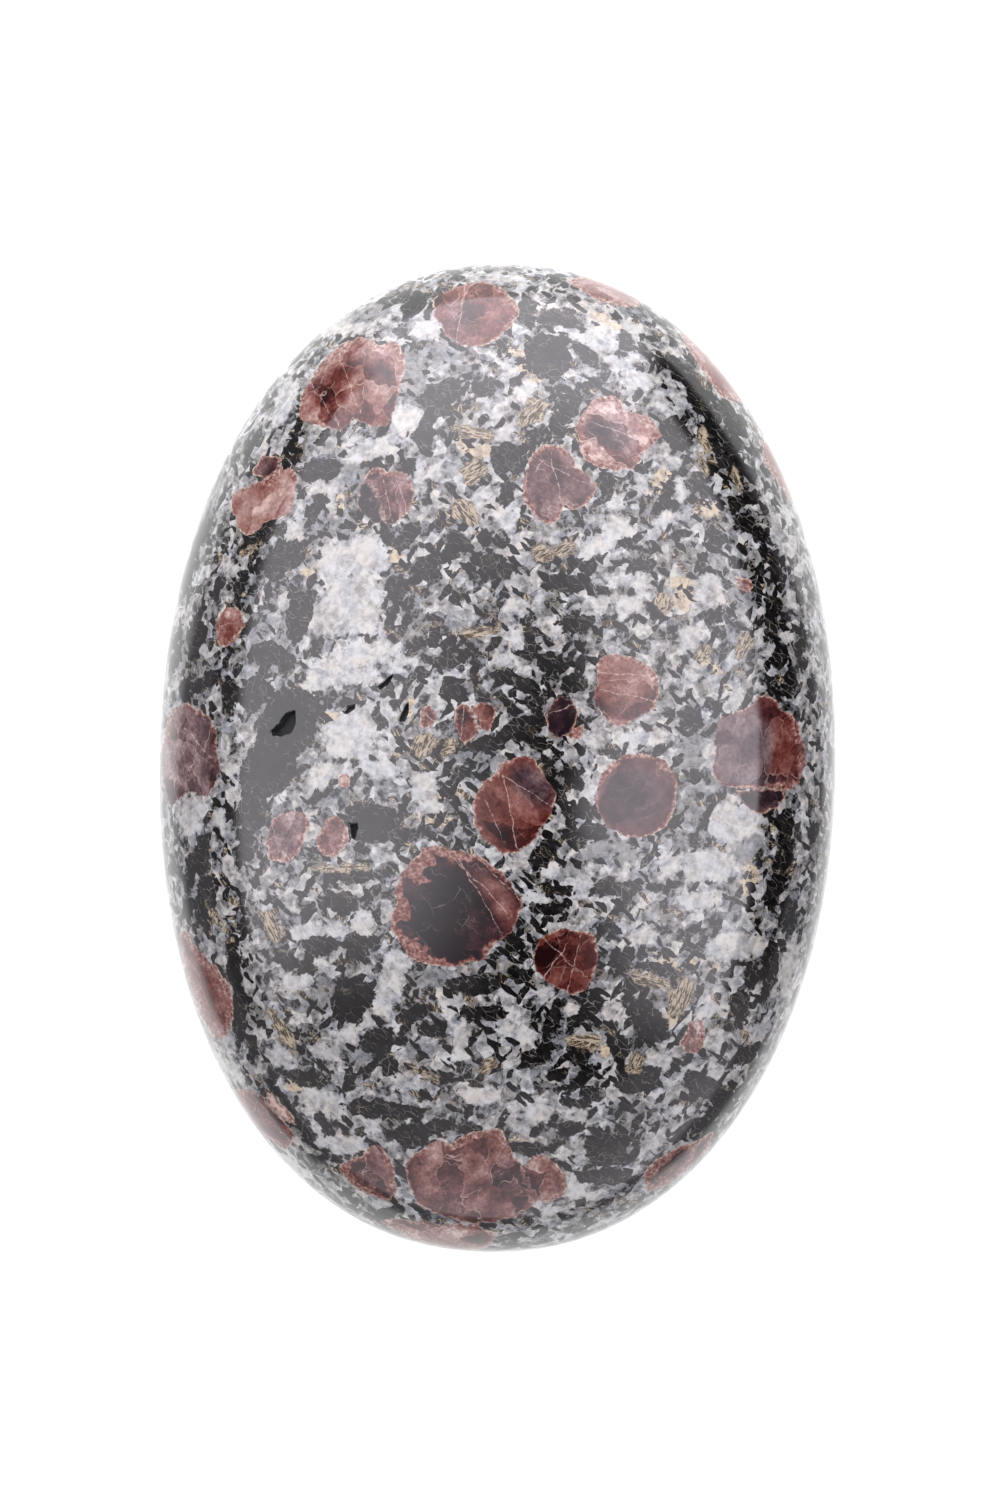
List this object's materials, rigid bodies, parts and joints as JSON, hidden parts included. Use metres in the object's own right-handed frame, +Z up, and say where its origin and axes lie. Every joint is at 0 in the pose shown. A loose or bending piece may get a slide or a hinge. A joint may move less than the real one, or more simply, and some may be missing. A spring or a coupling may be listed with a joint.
{
  "type": "palm stone of spinel in matrix",
  "caption": "Smooth oval palm stone of speckled grey and black rock with dark red spinel crystals, tumbled, polished and resting on a small flat spot.",
  "frame": {"origin": "on the surface that the stone rests on, under the middle of its outline", "axes": "+Y along the stone's length, +X across it towards its raised side, +Z up"},
  "size_m": [0.041, 0.06, 0.0232],
  "materials": {
    "polished_rock": "polished"
  },
  "bodies": {
    "root": {"spinel_in_matrix": "polished_rock"}
  },
  "joints": []
}
